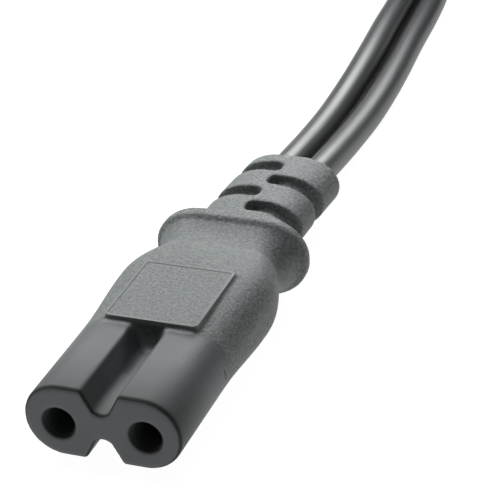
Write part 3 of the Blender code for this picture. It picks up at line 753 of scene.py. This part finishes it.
def wire_tie(name, source, material):
    """A ribbon round one side of the hank, its two ends twisted together along the top."""
    low, high = (Vector(corner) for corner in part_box(source))
    middle_x = (low.x + high.x) / 2
    tie_y = low.y + TIE_BAND / 2
    top = high.z - TIE_LOOP_DOWN
    half_height = (top - low.z) / 2
    outline = rounded_rectangle(
        (high.x - low.x) / 2 - WIRE_RADIUS, half_height - WIRE_RADIUS, TIE_CORNER, TIE_CORNER_STEPS,
    )
    quarter = len(outline) // 4
    outline = [(0, half_height - WIRE_RADIUS)] + outline[quarter:] + outline[:quarter]
    outline.append(outline[0])
    places = [Vector((middle_x + x, tie_y, low.z + half_height + z)) for x, z in outline]
    frames = []
    for index, place in enumerate(places):
        along = (places[min(len(places) - 1, index + 1)] - places[max(0, index - 1)]).normalized()
        across = Vector((0, 1, 0))
        frames.append((place, across, across.cross(along)))
    work = bmesh.new()
    sweep(work, frames, ribbon_section(RIBBON_HALF, WIRE_RADIUS))
    tail_z = top + TAIL_WIRE
    count = round(TAIL_LENGTH / TAIL_STEP)
    along_tail = [TAIL_LENGTH * step / count for step in range(count + 1)]
    route = [(middle_x, tie_y + gone, tail_z, 360 * gone / TAIL_PITCH) for gone in along_tail]
    for side in (-1, 1):
        section = ribbon_section(TAIL_RIBBON_HALF, TAIL_WIRE, side * TAIL_WIRE * TAIL_APART)
        sweep(work, rolled_frames(route), section)
    piece = new_piece(name, as_mesh(name, work, 40), material)
    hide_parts(source)
    return piece


def add_light(name, location, target, size, watts, spread):
    """A soft lamp that the camera doesn't see. A narrow spread keeps its light on its target."""
    data = bpy.data.lights.new(name, "AREA")
    data.shape = "RECTANGLE"
    data.size, data.size_y = size
    data.energy = watts
    data.spread = math.radians(spread)
    lamp = bpy.data.objects.new(name, data)
    lamp.location = location
    lamp.rotation_euler = (Vector(target) - Vector(location)).to_track_quat("-Z", "Y").to_euler()
    lamp.visible_camera = False
    bpy.context.scene.collection.objects.link(lamp)


def studio():
    """An opal sheet lit from below, so that hardly a shadow falls, and soft lights above the part."""
    work = bmesh.new()
    bmesh.ops.create_grid(work, x_segments=1, y_segments=1, size=FLOOR_HALF)
    mesh = bpy.data.meshes.new("floor")
    work.to_mesh(mesh)
    work.free()
    floor = bpy.data.objects.new("floor", mesh)
    bpy.context.scene.collection.objects.link(floor)
    opal, _, _ = new_material("opal_acrylic", **{
        "Base Color": linear("#6a6a6a"), "Roughness": 0.9, "Specular IOR Level": 0.0,
        "Emission Color": linear("#ffffff"), "Emission Strength": FLOOR_GLOW,
    })
    mesh.materials.append(opal)
    world = bpy.data.worlds.new("room")
    bpy.context.scene.world = world
    world.use_nodes = True
    background = world.node_tree.nodes["Background"]
    background.inputs["Color"].default_value = linear("#ffffff")
    background.inputs["Strength"].default_value = ROOM_GLOW
    for light in LIGHTS:
        add_light(*light)
    bpy.context.scene.view_settings.view_transform = "Standard"


place_camera()
connector_low, connector_high = (Vector(corner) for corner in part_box("connector_body"))
route = smooth_route(
    LEAD_ROUTE + hank_route(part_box("tie_left")[0][1] + TIE_BAND / 2) + TAIL_ROUTE, RING_SPACING,
)
flex_work = bmesh.new()
sweep(flex_work, rolled_frames(route), flex_section())
flex = new_piece("flat_twin_flex", as_mesh("flat_twin_flex", flex_work), extruded_pvc())
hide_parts("cord_lead", "cord_hank", "cord_tail")

moulded_skin(
    "connector_skin", "connector_body", CONNECTOR_VOXEL,
    moulded_pvc("spark_eroded_pvc", connector_low.y + POLISH_END),
)
raised_pad(connector_low.y, (connector_low.z + connector_high.z) / 2, pad_pvc())
plug = moulded_skin(
    "plug_skin", "plug_body", PLUG_VOXEL, moulded_pvc("spark_eroded_plug_pvc", connector_low.y),
)
film = polyethylene_film()
ties = [wire_tie(f"wire_{name}", name, film) for name in ("tie_left", "tie_right")]
brass = sheet_metal("drawn_brass", "#b08a4a", "#8a6a36", 0.4)
nickel = sheet_metal("nickel_plate", "#c9c5bc", "#aaa69e", 0.28)
blades = [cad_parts[name] for name in ("blade_left", "blade_right")]
contacts = [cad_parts[name] for name in ("contact_left", "contact_right")]
for pieces, material in ((contacts, brass), (blades, nickel)):
    for piece in pieces:
        piece.data.materials.clear()
        piece.data.materials.append(material)
studio()
